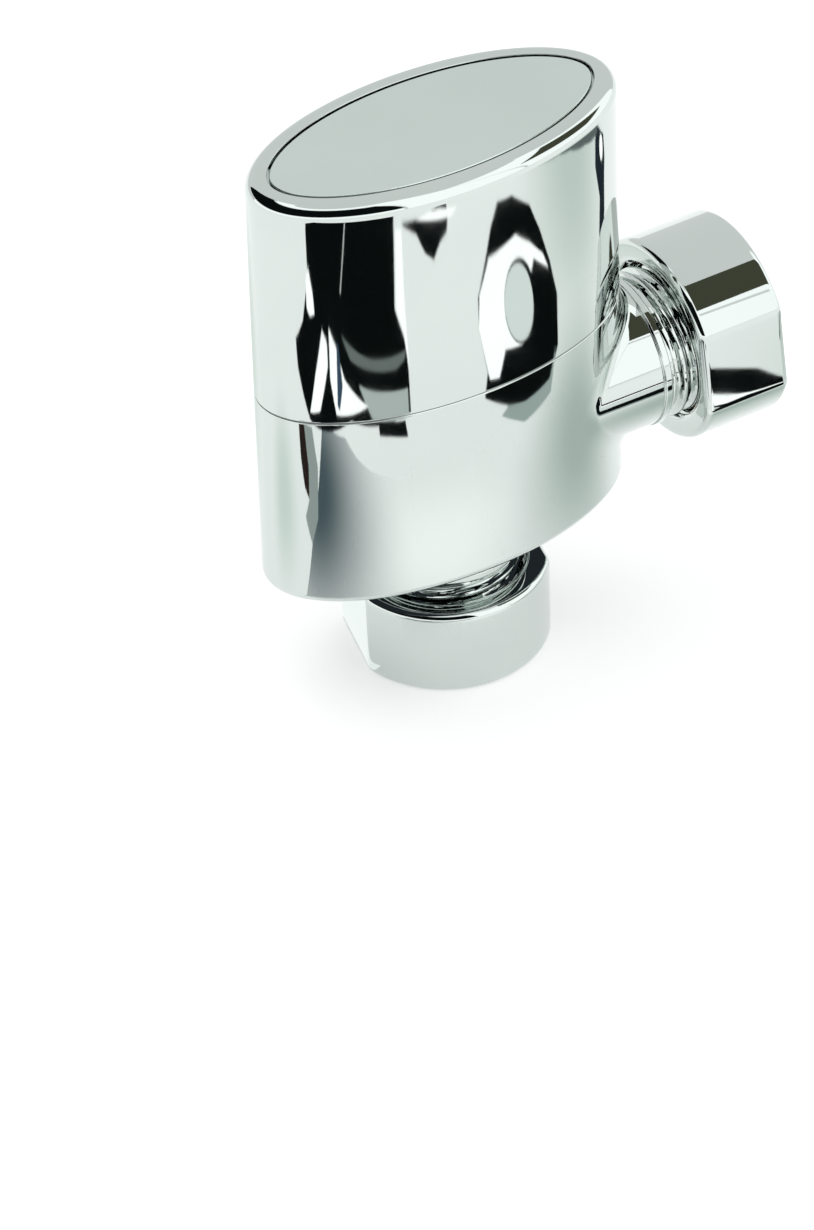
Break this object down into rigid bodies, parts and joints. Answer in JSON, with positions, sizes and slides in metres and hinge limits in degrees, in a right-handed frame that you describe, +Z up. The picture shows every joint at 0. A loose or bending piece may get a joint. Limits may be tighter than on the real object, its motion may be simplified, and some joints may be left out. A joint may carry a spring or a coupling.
{
  "type": "thermostatic radiator valve",
  "caption": "Chrome angle-pattern thermostatic radiator valve: oval body with a turning oval cap, inset top panel, and a round compression nut with two spanner flats on each pipe end.",
  "frame": {"origin": "centre of the bottom compression nut's outer face, on the spindle axis", "axes": "+Z up the spindle towards the cap, +X along the side branch, +Y across the oval; the shape is the same on both sides of the XZ plane, apart from how far each nut is turned"},
  "size_m": [0.068, 0.0264, 0.0777],
  "materials": {
    "chrome": "polished chrome plate",
    "satin_chrome": "satin chrome plate",
    "brass": "machined brass",
    "copper": "bright copper, slightly tarnished",
    "steel": "machined steel",
    "rubber": "matte",
    "plastic": "moulded, matte"
  },
  "bodies": {
    "valve": {"valve_body": "chrome", "seat_ring": "steel", "insert_housing": "brass", "insert_o_ring": "rubber", "gland_nut": "brass", "gland_o_ring": "rubber", "head_base": "plastic", "head_base_screw": "steel", "travel_ring": "steel", "return_spring": "steel"},
    "sensor": {"sensor_capsule": "brass", "sensor_cup": "plastic", "overrun_spring": "steel", "thrust_washer": "plastic"},
    "cap": {"cap_shell": "chrome", "top_panel": "satin_chrome", "threaded_carrier": "brass", "carrier_screw_left": "steel", "carrier_screw_right": "steel"},
    "spindle": {"sensor_plunger": "steel", "spindle": "steel", "spindle_clip": "steel", "disc_holder": "brass", "disc_washer": "rubber", "disc_nut": "brass"},
    "olive_bottom": {"bottom_olive": "copper"},
    "nut_bottom": {"bottom_nut": "chrome"},
    "olive_side": {"side_olive": "copper"},
    "nut_side": {"side_nut": "chrome"}
  },
  "joints": [
    {"name": "head_rise", "type": "slide", "parent": "valve", "child": "sensor", "axis": [0, 0, 1], "range_m": [0, 0.002], "deforming": ["return_spring"]},
    {"name": "head_turn", "type": "hinge", "parent": "sensor", "child": "cap", "pos_m": [0, 0, 0.06], "axis": [0, 0, 1], "range_deg": [0, 360]},
    {"name": "thermal_stroke", "type": "slide", "parent": "sensor", "child": "spindle", "axis": [0, 0, -1], "range_m": [0, 0.0012], "stiffness_N_per_m": 500, "springref_m": -0.002},
    {"name": "bottom_nut_travel", "type": "slide", "parent": "valve", "child": "olive_bottom", "axis": [0, 0, -1], "range_m": [-0.00182, 0.00364]},
    {"name": "bottom_nut_turn", "type": "hinge", "parent": "olive_bottom", "child": "nut_bottom", "pos_m": [0, 0, 0.006], "axis": [0, 0, -1], "range_deg": [-360, 720]},
    {"name": "side_nut_travel", "type": "slide", "parent": "valve", "child": "olive_side", "axis": [1, 0, 0], "range_m": [-0.00182, 0.00364]},
    {"name": "side_nut_turn", "type": "hinge", "parent": "olive_side", "child": "nut_side", "pos_m": [0.037, 0, 0.0321], "axis": [1, 0, 0], "range_deg": [-360, 720]}
  ],
  "couplings": [
    {"joint": "head_rise", "follows": "head_turn", "m_per_rad": 0.0003183},
    {"joint": "bottom_nut_travel", "follows": "bottom_nut_turn", "m_per_rad": 0.0002887},
    {"joint": "side_nut_travel", "follows": "side_nut_turn", "m_per_rad": 0.0002887}
  ]
}
